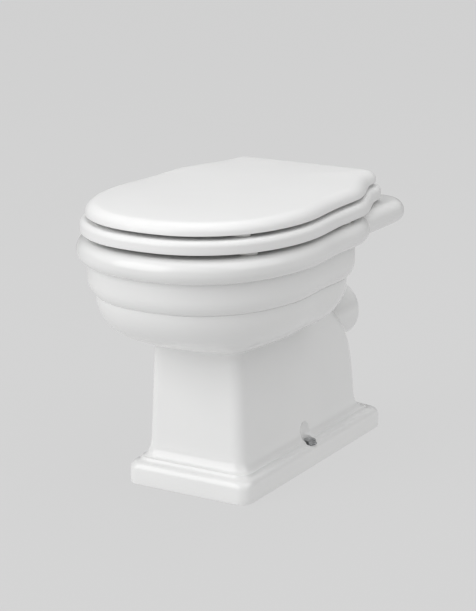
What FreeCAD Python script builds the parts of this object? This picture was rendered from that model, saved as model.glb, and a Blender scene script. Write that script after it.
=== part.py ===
"""Toilet pan in vitreous china with a hinged seat and lid.

Millimetres. +Z is up, the front of the pan faces -Y, and +X is to the left of
a person who sits on it. The origin is on the floor, under the middle of the
whole object's box.
"""
import FreeCAD
import Part
import math
import os
import Sketcher

Vector = FreeCAD.Vector
doc = FreeCAD.newDocument("ToiletPan")

# ---------------------------------------------------------------- driving sizes
SIZES = [
    ("overall_length", 632.0, "front of the rim to the end of the outlet"),
    ("rim_top", 410.0, "height of the china rim above the floor"),
    ("rim_thickness", 38.0, "height of the half-round rim roll"),
    ("band_bottom", 321.0, "crease between the upright band and the bowl"),
    ("bowl_foot", 238.0, "where the underside of the bowl meets the pedestal"),
    ("wall", 12.0, "thickness of the china"),
    ("plinth_width", 222.0, "across the foot"),
    ("plinth_length", 467.0, "front to back of the foot"),
    ("outlet_outside_radius", 51.0, "102 mm outlet spigot"),
    ("outlet_bore_radius", 42.0, "inside of the trap and outlet"),
    ("outlet_height", 190.0, "floor to the middle of the outlet"),
    ("trap_wall", 11.0, "china round the trap's passage"),
    ("spigot_start", 238.0, "Y where the trap steps down to the spigot"),
    ("inlet_bore_radius", 27.5, "socket for the flush pipe"),
    ("inlet_outside_radius", 37.0, "outside of the flush socket"),
    ("inlet_height", 346.0, "floor to the middle of the flush socket"),
    ("deck_half_width", 166.5, "half the width of the shelf behind the seat"),
    ("deck_rear", 284.0, "back edge of the shelf"),
    ("seat_bottom", 418.2, "underside of the seat ring"),
    ("seat_thickness", 20.0, "seat ring"),
    ("lid_bottom", 444.4, "underside of the lid"),
    ("lid_thickness", 21.6, "lid at its crown"),
    ("seat_overhang", 8.0, "how far the seat stands out past the lid"),
    ("hinge_back", 248.0, "Y of the hinge rod"),
    ("hinge_height", 440.0, "Z of the hinge rod"),
    ("hinge_spacing", 155.0, "between the two hinge posts"),
    ("rod_radius", 5.0, "hinge rod"),
    ("rod_length", 184.0, "hinge rod"),
    ("running_gap", 0.05, "radial play of a bush on the rod"),
    ("bush_radius", 6.5, "outside of a bush"),
    ("knuckle_radius", 9.0, "outside of a leaf's knuckle"),
    ("leaf_width", 24.0, "seat and lid leaves"),
    ("seat_leaf_side", 52.0, "X of a seat leaf's middle"),
    ("lid_leaf_side", 24.0, "X of a lid leaf's middle"),
    ("leaf_thickness", 3.0, "plate of a leaf"),
    ("post_radius", 11.0, "hinge post at its foot"),
    ("stud_radius", 4.0, "hinge stud, M8"),
    ("stud_hole_radius", 7.0, "hole in the deck for a stud"),
    ("deck_skin", 14.0, "china over the recess under the deck"),
    ("floor_screw_side", 99.0, "X of a floor screw"),
    ("floor_screw_back", 49.0, "Y of a floor screw"),
    ("floor_hole_radius", 6.5, "hole through the foot"),
    ("floor_screw_radius", 4.0, "shank of a floor screw"),
    ("floor_head_across", 19.0, "hexagon of a floor screw, across its flats"),
    ("scoop_radius", 16.0, "hollow in the foot round a floor screw"),
    ("scoop_floor", 34.0, "bottom of that hollow"),
    ("scoop_height", 16.0, "upright part of that hollow, under its dome"),
]

sheet = doc.addObject("Spreadsheet::Sheet", "Sizes")
for row, (alias, value, meaning) in enumerate(SIZES, start=1):
    sheet.set("A%d" % row, alias)
    sheet.set("B%d" % row, str(value))
    sheet.set("C%d" % row, meaning)
    sheet.setAlias("B%d" % row, alias)
doc.recompute()


def size(alias):
    """The value that the sheet holds."""
    return float(sheet.get(alias))


finished = []


def name_part(thing, label):
    """Mark a document object as a finished sub-part."""
    thing.Label = label
    finished.append(thing)
    return thing


# ---------------------------------------------------------------- outlines
POINTS = 48
QUARTERS = 4

# Half of the lid seen from above, from the middle of its front to the middle
# of its back: an egg, a slight waist, an S-shaped shoulder, a narrower tail.
LID_HALF = [
    (0, -299.4), (40, -296.5), (80, -283.5), (121.5, -254.5), (152, -214),
    (173, -158), (179.8, -98), (176.2, -45), (173.4, 0), (172.8, 45),
    (169.5, 84), (153.5, 131), (139.5, 171), (134.8, 198), (127, 216),
    (108, 222.6), (55, 224.2), (0, 224.6),
]
# The rim roll closes behind the shoulder; the deck is a slab of its own.
ROLL_HALF = [
    (0, -316), (42, -312.6), (85, -298.5), (130, -267), (163, -223.5),
    (186, -163), (194.5, -98), (191.5, -45), (189.5, 0), (189.5, 40),
    (185, 78), (168, 112), (138, 135), (80, 148), (0, 152),
]
BAND_HALF = [
    (0, -298), (40, -294.5), (80, -281.5), (120, -253), (150, -214),
    (171, -160), (179, -103), (176, -45), (176.3, 0), (176, 30),
    (168, 65), (145, 93), (105, 112), (50, 120), (0, 122),
]


def smooth_wire(points):
    """A closed wire through the points, in quarters that join smoothly."""
    count = len(points)
    quarter = count // QUARTERS
    loop = points + points[:1]
    edges = []
    for start in range(0, count, quarter):
        stop = start + quarter
        curve = Part.BSplineCurve()
        curve.interpolate(
            Points=loop[start:stop + 1],
            InitialTangent=points[(start + 1) % count] - points[start - 1],
            FinalTangent=points[(stop + 1) % count] - points[stop - 1])
        edges.append(curve.toShape())
    return Part.Wire(edges)


def spread(curve_or_wire, count=POINTS):
    """Points at equal distances round a closed outline, without the repeat."""
    return curve_or_wire.discretize(Number=count + 1)[:-1]


def symmetric(half):
    """An outline from its right half, as evenly spread points."""
    left = [(-across, back) for across, back in reversed(half[1:-1])]
    points = [Vector(across, back, 0) for across, back in half + left]
    rough = Part.BSplineCurve()
    rough.interpolate(Points=points, PeriodicFlag=True)
    return spread(rough.toShape())


def grown(points, distance):
    """Each point moved outwards, along the outline's own normal."""
    count = len(points)
    moved = []
    for index in range(count):
        along = points[(index + 1) % count] - points[index - 1]
        outward = Vector(along.y, -along.x, 0)
        outward.normalize()
        moved.append(points[index] + outward * distance)
    return moved


def box_wire(box, height):
    """A rectangle with round corners; box is half width, front, back, radius."""
    half_width, front, back, radius = box
    right = half_width - radius
    corners = [
        (right, front + radius, -90), (right, back - radius, 0),
        (-right, back - radius, 90), (-right, front + radius, 180),
    ]
    edges = []
    last = Vector(0, front, height)
    for across, middle, start in corners:
        centre = Vector(across, middle, height)
        spots = []
        for turn in (0, 45, 90):
            angle = math.radians(start + turn)
            spots.append(centre + Vector(math.cos(angle), math.sin(angle), 0) * radius)
        edges.append(Part.LineSegment(last, spots[0]).toShape())
        edges.append(Part.Arc(*spots).toShape())
        last = spots[2]
    edges.append(Part.LineSegment(last, Vector(0, front, height)).toShape())
    return Part.Wire(edges)


def inset_box(box, distance):
    """The rounded rectangle moved inwards all round."""
    half_width, front, back, radius = box
    return (half_width - distance, front + distance, back - distance,
            max(radius - distance, 4.0))


def between_boxes(first, second, share):
    """A rounded rectangle part of the way from one to another."""
    return tuple(one + (two - one) * share for one, two in zip(first, second))


def oval(half_width, front, back):
    """An egg-shaped ring of points."""
    middle = (front + back) / 2
    reach = (back - front) / 2
    ring = []
    for index in range(POINTS):
        angle = 2 * math.pi * index / POINTS
        ring.append(Vector(half_width * math.sin(angle), middle - reach * math.cos(angle), 0))
    return ring


def blended(first, second, share):
    """Points that lie between two outlines; share 1 is the second."""
    return [one + (two - one) * share for one, two in zip(first, second)]


def stacked(levels):
    """A solid through (height, outline) levels, with flat ends."""
    wires = []
    for height, outline in levels:
        if isinstance(outline, tuple):
            wires.append(box_wire(outline, height))
        else:
            lifted = [Vector(spot.x, spot.y, height) for spot in outline]
            wires.append(smooth_wire(lifted))
    return Part.makeLoft(wires, True, True)


def prism(outline, low, high):
    """An upright solid of one outline."""
    return stacked([(low, outline), (high, outline)])


def bullnose(points, low, high):
    """A slab whose edge is a half circle; points are its widest outline."""
    radius = (high - low) / 2
    levels = []
    for step in range(-6, 7):
        angle = math.radians(15 * step)
        inset = (radius - 0.3) * (1 - math.cos(angle))
        if isinstance(points, tuple):
            outline = inset_box(points, inset)
        else:
            outline = grown(points, -inset)
        levels.append((low + radius + radius * math.sin(angle), outline))
    return stacked(levels)


def rod_between(start, end, radius):
    """A round bar between two points."""
    along = end - start
    return Part.makeCylinder(radius, along.Length, start, along)


lid_line = symmetric(LID_HALF)
roll_line = symmetric(ROLL_HALF)
band_line = symmetric(BAND_HALF)
mouth_line = oval(142, -266, 62)

# ---------------------------------------------------------------- the china pan
FRONT_OF_FOOT = -176.0
CORNER = 20.0


def rim():
    """The half-round roll and the shelf behind it, which meet in a crease."""
    top = size("rim_top")
    bottom = top - size("rim_thickness")
    deck = (size("deck_half_width"), 60, size("deck_rear"), 52)
    return bullnose(roll_line, bottom, top).fuse(bullnose(deck, bottom, top))


def band():
    """The upright wall under the roll, whose lower edge rounds inwards."""
    bottom = size("band_bottom")
    levels = [(size("rim_top") - 20, band_line), (bottom + 25, band_line)]
    for degrees in (20, 40, 55, 70):
        angle = math.radians(degrees)
        height = bottom + 25 - 26.6 * math.sin(angle)
        levels.append((height, grown(band_line, 20 * (math.cos(angle) - 1))))
    return stacked(levels)


# The column starts at this height; each lean is how far a side comes in by its top.
COLUMN_START = 60.0
COLUMN_HALF = 88.0
COLUMN_FRONT = -150.0
COLUMN_REAR = 242.0
SIDE_LEAN = 8.0
FRONT_LEAN = 2.0
REAR_LEAN = 14.0
REAR_SWEEP = 69.0


def column_box(height):
    """The pedestal's section; its back leans forward towards the top."""
    rise = (height - COLUMN_START) / (size("bowl_foot") - COLUMN_START)
    rise = min(max(rise, 0), 1)
    half = COLUMN_HALF - SIDE_LEAN * rise
    front = COLUMN_FRONT + FRONT_LEAN * rise
    back = COLUMN_REAR - REAR_LEAN * rise - REAR_SWEEP * rise ** 4
    return (half, front, back, CORNER)


def bowl_underside():
    """A quarter ellipse from the crease down and in to the pedestal."""
    top = size("band_bottom")
    foot = size("bowl_foot")
    crease = grown(band_line, -12)
    neck = spread(box_wire(column_box(foot), 0))
    levels = [(top + 12, crease), (top, crease)]
    for step in range(1, 9):
        drop = math.sin(math.radians(step * 90 / 8))
        height = top - (top - foot) * drop
        share = math.cos(math.radians(step * 90 / 8))
        levels.append((height, blended(neck, crease, share)))
    return stacked(levels)


def foot_box():
    """The outline of the foot on the floor."""
    back = FRONT_OF_FOOT + size("plinth_length")
    return (size("plinth_width") / 2, FRONT_OF_FOOT, back, CORNER)


def pedestal():
    """Foot, its moulding, the cove and the column in one stack."""
    foot = foot_box()
    moulding = [
        (0, 1), (25, 1), (29.5, 0.97), (32.5, 0.91), (34, 0.82), (35.5, 0.66), (37.5, 0.6),
        (39.5, 0.52), (43, 0.36), (49, 0.2), (58, 0.07), (70, 0),
    ]
    levels = []
    for height, share in moulding:
        levels.append((height, between_boxes(column_box(height), foot, share)))
    for height in (100, 130, 160, 185, 205, 222, 238, 246):
        levels.append((height, column_box(height)))
    return stacked(levels)


def pedestal_hollow():
    """The space inside the column, open to the floor."""
    wall = size("wall")
    top = size("bowl_foot") - wall
    levels = [(-5, inset_box(column_box(60), wall))]
    for height in (60, 110, 150, 185, 210, top):
        levels.append((height, inset_box(column_box(height), wall)))
    return stacked(levels)


SUMP_FLOOR = 100.0


def bowl_levels(extra):
    """Levels of the bowl's inside, or of its outside when extra is a wall."""
    sump = oval(45 + extra, -106 - extra, -6 + extra)
    brim = grown(band_line, -24 + extra)
    shares = [
        (290, 0.86), (270, 0.66), (257, 0.48), (240, 0.27), (220, 0.15),
        (180, 0.06), (130, 0),
    ]
    levels = [(321, brim)]
    for height, share in shares:
        levels.append((height, blended(sump, brim, share)))
    low = oval(34 + extra, -92 - extra, -20 + extra)
    levels.append((SUMP_FLOOR + 8 - extra, blended(sump, low, 0.35)))
    levels.append((SUMP_FLOOR - extra, low))
    return levels


def bowl_inside():
    """The bowl with the flush channel's width at its top."""
    wall = size("wall")
    wide = grown(band_line, -14)
    levels = [(size("rim_top") - wall, wide), (345, wide)]
    return stacked(levels + bowl_levels(0))


def bowl_shell():
    """The lower bowl's outside, inside the hollow pedestal."""
    return stacked([level for level in bowl_levels(size("wall")) if level[0] < 258])


def waterway(radius, end):
    """Round passage from the sump over the weir to the outlet."""
    outlet = size("outlet_height")
    stops = [
        Vector(0, -56, 146), Vector(0, 8, 122), Vector(0, 118, 230),
        Vector(0, 166, outlet), Vector(0, end, outlet),
    ]
    shape = Part.makeSphere(radius, stops[1])
    for start, stop in zip(stops, stops[1:]):
        shape = shape.fuse(rod_between(start, stop, radius))
    for stop in stops[2:4]:
        shape = shape.fuse(Part.makeSphere(radius, stop))
    return shape


def flush_socket(radius, start, end):
    """Level tube behind the rim that takes the flush pipe."""
    height = size("inlet_height")
    return rod_between(Vector(0, start, height), Vector(0, end, height), radius)


def rim_lip():
    """Inner lip of the rim, which hides the flush channel."""
    top = size("rim_top") - 6
    outer = prism(grown(mouth_line, 11), 366, top)
    return outer.cut(prism(mouth_line, 360, top + 1))


def deck_recess():
    """Open space under the deck, where the hinge nuts are reached."""
    half = size("deck_half_width") - 16
    line = (half, 138, size("deck_rear") - 16, 36)
    bottom = size("rim_top") - size("rim_thickness") - 2
    return prism(line, bottom, size("rim_top") - size("deck_skin"))


def floor_fixing(side):
    """Hole and scoop for one floor screw, to be cut from the foot."""
    across = side * size("floor_screw_side")
    back = size("floor_screw_back")
    floor = size("scoop_floor")
    height = size("scoop_height")
    hole = Part.makeCylinder(size("floor_hole_radius"), floor + 2, Vector(across, back, -1))
    scoop = Part.makeCylinder(size("scoop_radius"), height, Vector(across, back, floor))
    dome = Part.makeSphere(size("scoop_radius"), Vector(across, back, floor + height))
    return hole.fuse(scoop).fuse(dome)


def china_pan():
    """The whole casting."""
    end = size("overall_length") / 2
    pan = rim().fuse([band(), bowl_underside(), pedestal()])
    pan = pan.cut(deck_recess())
    pan = pan.cut(pedestal_hollow())
    solids = [
        bowl_shell(),
        waterway(size("outlet_bore_radius") + size("trap_wall"), size("spigot_start")),
        rod_between(Vector(0, size("spigot_start") - size("trap_wall"), size("outlet_height")),
                    Vector(0, end, size("outlet_height")), size("outlet_outside_radius")),
        flush_socket(size("inlet_outside_radius"), 100, 294),
    ]
    pan = pan.fuse(solids)
    pan = pan.cut(bowl_inside())
    pan = pan.fuse(rim_lip())
    pan = pan.cut(prism(mouth_line, 380, size("rim_top") + 1))
    pan = pan.cut(waterway(size("outlet_bore_radius"), end + 1))
    pan = pan.cut(flush_socket(size("inlet_bore_radius"), 90, 296))
    for side in (-1, 1):
        pan = pan.cut(floor_fixing(side))
        spot = Vector(side * size("hinge_spacing") / 2, size("hinge_back"), 380)
        pan = pan.cut(Part.makeCylinder(size("stud_hole_radius"), 40, spot))
    return pan


# ---------------------------------------------------------------- seat and lid
def rounded_over(line, low, high, radius):
    """A board whose top edge is rounded over; its lower edge stays sharp."""
    levels = [(low, line), (high - radius, line)]
    for degrees in (20, 40, 60, 75, 90):
        angle = math.radians(degrees)
        inset = radius * (1 - math.cos(angle))
        levels.append((high - radius + radius * math.sin(angle), grown(line, -inset)))
    return stacked(levels)


SEAT_EDGE = 9.0
LID_EDGE = 18.0
BUFFER_GAP = 0.2
FRONT_BUFFER_TURN = 49.0
SCREW_SUNK = 2.6
SCREW_BITE = 11.0
SCREW_SHANK = 1.8
SCREW_HEAD = 3.6

seat_low = size("seat_bottom")
seat_high = seat_low + size("seat_thickness")
lid_low = size("lid_bottom")
lid_high = lid_low + size("lid_thickness")
leaf = size("leaf_thickness")

SEAT_LEAF_SCREWS = [(side * size("seat_leaf_side"), back) for side in (-1, 1) for back in (178, 212)]
LID_LEAF_SCREWS = [(side * size("lid_leaf_side"), back) for side in (-1, 1) for back in (173, 205)]
SEAT_FRONT_BUFFERS = [(-137, -214), (137, -214)]
SEAT_REAR_BUFFERS = [(-164, 40), (164, 40)]
LID_BUFFERS = [(-129, -221), (129, -221)]


def screw_holes(spots, low, depth):
    """Pilot holes that the screws' shanks fill."""
    return [Part.makeCylinder(SCREW_SHANK, depth, Vector(across, back, low))
            for across, back in spots]


def seat_ring():
    """Board with an oval opening, rounded inside and out."""
    ring = rounded_over(grown(lid_line, size("seat_overhang")), seat_low, seat_high, SEAT_EDGE)
    opening = oval(117, -242, 48)
    levels = [(seat_low - 1, opening), (seat_high - SEAT_EDGE, opening)]
    for degrees in (25, 50, 70, 90):
        angle = math.radians(degrees)
        height = seat_high - SEAT_EDGE + SEAT_EDGE * math.sin(angle)
        levels.append((height, grown(opening, SEAT_EDGE * (1 - math.cos(angle)))))
    levels.append((seat_high + 1, grown(opening, SEAT_EDGE)))
    ring = ring.cut(stacked(levels))
    spots = SEAT_LEAF_SCREWS + SEAT_FRONT_BUFFERS + SEAT_REAR_BUFFERS
    return ring.cut(screw_holes(spots, seat_low - 1, 13))


def lid_board():
    """Solid lid: sharp lower edge, a deep round-over and a slight crown."""
    rounded = lid_high - 3.6
    levels = [(lid_low, lid_line), (rounded - LID_EDGE * 0.88, lid_line)]
    for degrees in (18, 36, 54, 70):
        angle = math.radians(degrees)
        inset = 20 * (1 - math.cos(angle))
        levels.append((rounded - LID_EDGE * 0.88 * (1 - math.sin(angle)), grown(lid_line, -inset)))
    shoulder = grown(lid_line, -20)
    core = oval(30, -150, 60)
    for share, drop in ((0.0, 3.6), (0.25, 1.7), (0.6, 0.4), (0.85, 0.0)):
        levels.append((lid_high - drop, blended(shoulder, core, share)))
    board = stacked(levels)
    return board.cut(screw_holes(LID_LEAF_SCREWS + LID_BUFFERS, lid_low - 1, 13))


def checked(label, shape):
    """The one solid of a shape that has to be in one piece."""
    if len(shape.Solids) != 1:
        raise RuntimeError("%s is in %d pieces" % (label, len(shape.Solids)))
    return shape.Solids[0]


def shaped(label, shape):
    """A sub-part whose shape is worked out above."""
    thing = doc.addObject("Part::Feature", label)
    thing.Shape = checked(label, shape)
    return name_part(thing, label)


shaped("pan", china_pan())
shaped("seat_ring", seat_ring())
shaped("lid", lid_board())

# ---------------------------------------------------------------- small parts
ACROSS = FreeCAD.Rotation(Vector(0, 1, 0), 90)
UPRIGHT = FreeCAD.Rotation()


def bar(name, radius, length, spot, turn=UPRIGHT):
    """A round bar whose radius and length are expressions of the sheet."""
    thing = doc.addObject("Part::Cylinder", name)
    thing.setExpression("Radius", radius)
    thing.setExpression("Height", length)
    thing.Placement = FreeCAD.Placement(Vector(*spot), turn)
    return thing


def cut_from(name, base, tool):
    """One solid less another."""
    thing = doc.addObject("Part::Cut", name)
    thing.Base = base
    thing.Tool = tool
    return thing


def joined(name, pieces):
    """Solids fused into one."""
    thing = doc.addObject("Part::MultiFuse", name)
    thing.Shapes = pieces
    return thing


def grouped(label, pieces):
    """Separate solids of one kind that share a node."""
    thing = doc.addObject("Part::Compound", label)
    thing.Links = pieces
    return name_part(thing, label)


def ring(name, outside, inside, length, spot, turn=UPRIGHT):
    """A washer or bush."""
    whole = bar(name + "_outside", outside, length, spot, turn)
    hole = bar(name + "_inside", inside, length, spot, turn)
    return cut_from(name, whole, hole)


def plane_of(body, role):
    """One of a body's own origin planes or axes."""
    for feature in body.Origin.OriginFeatures:
        if feature.Role == role:
            return feature
    raise RuntimeError("no %s" % role)


def sketch_on(body, role, name):
    """An empty sketch on one of the body's origin planes."""
    sketch = body.newObject("Sketcher::SketchObject", name)
    sketch.AttachmentSupport = [(plane_of(body, role), "")]
    sketch.MapMode = "FlatFace"
    return sketch


def draw_loop(sketch, points):
    """A closed polygon whose corners are joined by constraints."""
    count = len(points)
    for index in range(count):
        start = Vector(points[index][0], points[index][1], 0)
        end = Vector(points[(index + 1) % count][0], points[(index + 1) % count][1], 0)
        sketch.addGeometry(Part.LineSegment(start, end), False)
    for index in range(count):
        sketch.addConstraint(Sketcher.Constraint("Coincident", index, 2, (index + 1) % count, 1))


def draw_circle(sketch, centre, radius):
    """A circle whose radius is an expression of the sheet."""
    circle = Part.Circle(Vector(centre[0], centre[1], 0), Vector(0, 0, 1), 1.0)
    index = sketch.addGeometry(circle, False)
    constraint = sketch.addConstraint(Sketcher.Constraint("Radius", index, 1.0))
    sketch.setExpression("Constraints[%d]" % constraint, radius)


def pad(body, sketch, name, length, centred=True):
    """Give a sketch its thickness."""
    feature = body.newObject("PartDesign::Pad", name)
    feature.Profile = sketch
    feature.Midplane = centred
    feature.setExpression("Length", length)
    return feature


def bore(body, role, name, centre, radius):
    """A round hole both ways through a body."""
    sketch = sketch_on(body, role, name + "_sketch")
    draw_circle(sketch, centre, radius)
    feature = body.newObject("PartDesign::Pocket", name)
    feature.Profile = sketch
    feature.Midplane = True
    feature.Type = "ThroughAll"
    return feature


def floor_fixings():
    """Screws with chromed hexagon heads, in nylon sleeves."""
    screws = []
    sleeves = []
    for side in (-1, 1):
        tag = "left" if side < 0 else "right"
        place = (side * size("floor_screw_side"), size("floor_screw_back"))
        shank = bar("floor_shank_" + tag, "Sizes.floor_screw_radius", "Sizes.scoop_floor + 2",
                    place + (0,))
        flange = bar("floor_flange_" + tag, "Sizes.floor_head_across * 0.58", "1.6 mm",
                     place + (size("scoop_floor") + 1,))
        head = doc.addObject("Part::Prism", "floor_head_" + tag)
        head.Polygon = 6
        head.setExpression("Circumradius", "Sizes.floor_head_across / sqrt(3)")
        head.Height = 6.5
        head.Placement = FreeCAD.Placement(
            Vector(place[0], place[1], size("scoop_floor") + 2), UPRIGHT)
        screws.append(joined("floor_screw_" + tag, [shank, flange, head]))
        tube = bar("sleeve_tube_" + tag, "Sizes.floor_hole_radius", "Sizes.scoop_floor", place + (0,))
        collar = bar("sleeve_collar_" + tag, "Sizes.floor_hole_radius + 2.5", "1 mm",
                     place + (size("scoop_floor"),))
        whole = joined("sleeve_body_" + tag, [tube, collar])
        hole = bar("sleeve_hole_" + tag, "Sizes.floor_screw_radius", "50 mm", place + (-1,))
        sleeves.append(cut_from("floor_sleeve_" + tag, whole, hole))
    grouped("floor_screws", screws)
    grouped("floor_screw_sleeves", sleeves)


def hinge_post(label, side):
    """Turned post that carries the rod over the deck."""
    body = doc.addObject("PartDesign::Body", label)
    foot = size("post_radius") + 1
    outline = [
        (4, 1.5), (foot, 1.5), (foot, 4.5), (9, 6), (7.5, 10), (7, 18), (8, 22), (9.5, 26),
        (10, 30), (9.5, 34), (7.5, 37), (4, 38.6), (0, 39), (0, 12), (4, 10),
    ]
    sketch = sketch_on(body, "XZ_Plane", label + "_profile")
    draw_loop(sketch, outline)
    turned = body.newObject("PartDesign::Revolution", label + "_turned")
    turned.Profile = sketch
    turned.ReferenceAxis = (sketch, ["V_Axis"])
    turned.Angle = 360
    doc.recompute()
    height = size("hinge_height") - size("rim_top")
    bore(body, "YZ_Plane", label + "_bore", (0, height), "Sizes.rod_radius")
    body.Placement = FreeCAD.Placement(
        Vector(side * size("hinge_spacing") / 2, size("hinge_back"), size("rim_top")), UPRIGHT)
    return name_part(body, label)


def wing_nut(name, side):
    """Nylon wing nut under the deck."""
    body = doc.addObject("PartDesign::Body", name)
    hub = sketch_on(body, "XY_Plane", name + "_hub_circle")
    draw_circle(hub, (0, 0), "Sizes.stud_radius * 2.1")
    pad(body, hub, name + "_hub", "12 mm", centred=False)
    wing = sketch_on(body, "XZ_Plane", name + "_wing_outline")
    draw_loop(wing, [(-19, -7), (-17, -9), (-12, -7), (-6, 5), (6, 5), (12, -7), (17, -9), (19, -7),
                     (17, 1), (9, 11), (-9, 11), (-17, 1)])
    pad(body, wing, name + "_wings", "4.5 mm")
    doc.recompute()
    bore(body, "XY_Plane", name + "_bore", (0, 0), "Sizes.stud_radius")
    low = size("rim_top") - size("deck_skin") - 4 - 12
    body.Placement = FreeCAD.Placement(
        Vector(side * size("hinge_spacing") / 2, size("hinge_back"), low), UPRIGHT)
    return body


def post_fixings():
    """Gasket, stud, washers and wing nut of each hinge post."""
    under_deck = size("rim_top") - size("deck_skin")
    gaskets = []
    studs = []
    rubber = []
    nylon = []
    nuts = []
    for side in (-1, 1):
        tag = "left" if side < 0 else "right"
        across = side * size("hinge_spacing") / 2
        back = size("hinge_back")
        gaskets.append(ring("gasket_" + tag, "Sizes.post_radius + 2", "Sizes.stud_radius",
                            "1.5 mm", (across, back, size("rim_top"))))
        studs.append(bar("stud_" + tag, "Sizes.stud_radius", "44 mm",
                         (across, back, size("rim_top") - 34)))
        rubber.append(ring("rubber_washer_" + tag, "Sizes.stud_radius * 3.2", "Sizes.stud_radius",
                           "2 mm", (across, back, under_deck - 2)))
        nylon.append(ring("nylon_washer_" + tag, "Sizes.stud_radius * 3", "Sizes.stud_radius",
                          "2 mm", (across, back, under_deck - 4)))
        nuts.append(wing_nut("wing_nut_" + tag, side))
    grouped("hinge_post_gaskets", gaskets)
    grouped("hinge_studs", studs)
    grouped("stud_rubber_washers", rubber)
    grouped("stud_nylon_washers", nylon)
    grouped("wing_nuts", nuts)


def hinge_rod():
    """The rod that seat and lid turn on, and its end caps."""
    back = size("hinge_back")
    height = size("hinge_height")
    half = size("rod_length") / 2
    name_part(bar("hinge_rod", "Sizes.rod_radius", "Sizes.rod_length", (-half, back, height), ACROSS),
              "hinge_rod")
    caps = []
    for side in (-1, 1):
        tag = "left" if side < 0 else "right"
        start = half - 3.4 if side > 0 else -half - 3
        whole = bar("cap_body_" + tag, "Sizes.rod_radius + 2", "6.4 mm",
                    (start, back, height), ACROSS)
        inside = half - 3.4 if side > 0 else -half
        hole = bar("cap_hole_" + tag, "Sizes.rod_radius", "3.4 mm", (inside, back, height), ACROSS)
        caps.append(cut_from("rod_cap_" + tag, whole, hole))
    grouped("rod_end_caps", caps)


def leaf_plate(label, side_size, side, outline, screw_backs, screw_low):
    """A hinge leaf: plate, strap and knuckle in one, drilled for its screws."""
    body = doc.addObject("PartDesign::Body", label)
    sketch = sketch_on(body, "YZ_Plane", label + "_outline")
    draw_loop(sketch, outline)
    pad(body, sketch, label + "_strap", "Sizes.leaf_width")
    knuckle = sketch_on(body, "YZ_Plane", label + "_knuckle_circle")
    centre = (size("hinge_back"), size("hinge_height"))
    draw_circle(knuckle, centre, "Sizes.knuckle_radius")
    pad(body, knuckle, label + "_knuckle", "Sizes.leaf_width")
    doc.recompute()
    bore(body, "YZ_Plane", label + "_bore", centre, "Sizes.bush_radius")
    for number, back in enumerate(screw_backs):
        bore(body, "XY_Plane", "%s_hole_%d" % (label, number), (0, back), "%s mm" % SCREW_SHANK)
    body.Placement = FreeCAD.Placement(Vector(side * size(side_size), 0, 0), UPRIGHT)
    return name_part(body, label)


def screws_at(label, spots, head_top, length):
    """Round-head screws that point up; head_top is under the thing they hold."""
    pieces = []
    for number, (across, back) in enumerate(spots):
        name = "%s_%d" % (label, number)
        shank = bar(name + "_shank", "%s mm" % SCREW_SHANK, "%s mm" % length, (across, back, head_top))
        head = bar(name + "_head", "%s mm" % SCREW_HEAD, "1.8 mm", (across, back, head_top - 1.8))
        pieces.append(joined(name, [shank, head]))
    grouped(label, pieces)


def buffer_block(name, spot, top, height, turned):
    """A tapered buffer whose narrow end points to the front, turned outwards."""
    across, back = spot
    body = doc.addObject("PartDesign::Body", name)
    sketch = sketch_on(body, "XY_Plane", name + "_outline")
    draw_loop(sketch, [(-6.5, 11), (-7, 6), (-6, -2), (-3.5, -13), (0, -15), (3.5, -13), (6, -2),
                       (7, 6), (6.5, 11), (3, 13), (-3, 13)])
    pad(body, sketch, name + "_block", "%s mm" % height, centred=False)
    doc.recompute()
    bore(body, "XY_Plane", name + "_hole", (0, 0), "%s mm" % SCREW_SHANK)
    seat = sketch_on(body, "XY_Plane", name + "_counterbore_circle")
    draw_circle(seat, (0, 0), "%s mm" % (SCREW_HEAD + 0.4))
    sunk = body.newObject("PartDesign::Pocket", name + "_counterbore")
    sunk.Profile = seat
    sunk.Reversed = True
    sunk.Length = SCREW_SUNK
    turn = FreeCAD.Rotation(Vector(0, 0, 1), -turned if across > 0 else turned)
    body.Placement = FreeCAD.Placement(Vector(across, back, top - height), turn)
    return body


def buffers(label, spots, top, height, turned):
    """A row of buffers under a board."""
    blocks = []
    for number, spot in enumerate(spots):
        blocks.append(buffer_block("%s_%d" % (label, number), spot, top, height, turned))
    grouped(label, blocks)


floor_fixings()
post_left = hinge_post("hinge_post_left", -1)
post_right = hinge_post("hinge_post_right", 1)
post_fixings()
hinge_rod()

back = size("hinge_back")
SEAT_LEAF = [
    (162, seat_low - leaf), (162, seat_low), (back - 13.6, seat_low), (back - 8.5, 423),
    (back - 7, 436), (back + 5, 436), (back + 3.5, 424), (back - 4, seat_low - leaf),
]
LID_LEAF = [
    (158, lid_low - leaf), (158, lid_low), (back - 20, lid_low), (back - 8, 448),
    (back + 2, 444), (back - 4, 438), (back - 10, lid_low - leaf),
]
for side, tag in ((-1, "left"), (1, "right")):
    leaf_plate("seat_leaf_" + tag, "seat_leaf_side", side, SEAT_LEAF, (178, 212), seat_low)
    leaf_plate("lid_leaf_" + tag, "lid_leaf_side", side, LID_LEAF, (173, 205), lid_low)
for label, side_size in (("seat_leaf_bushes", "seat_leaf_side"), ("lid_leaf_bushes", "lid_leaf_side")):
    pair = []
    for side in (-1, 1):
        start = side * size(side_size) - size("leaf_width") / 2
        pair.append(ring("%s_%d" % (label, side + 1), "Sizes.bush_radius",
                         "Sizes.rod_radius + Sizes.running_gap", "Sizes.leaf_width",
                         (start, back, size("hinge_height")), ACROSS))
    grouped(label, pair)

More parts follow.
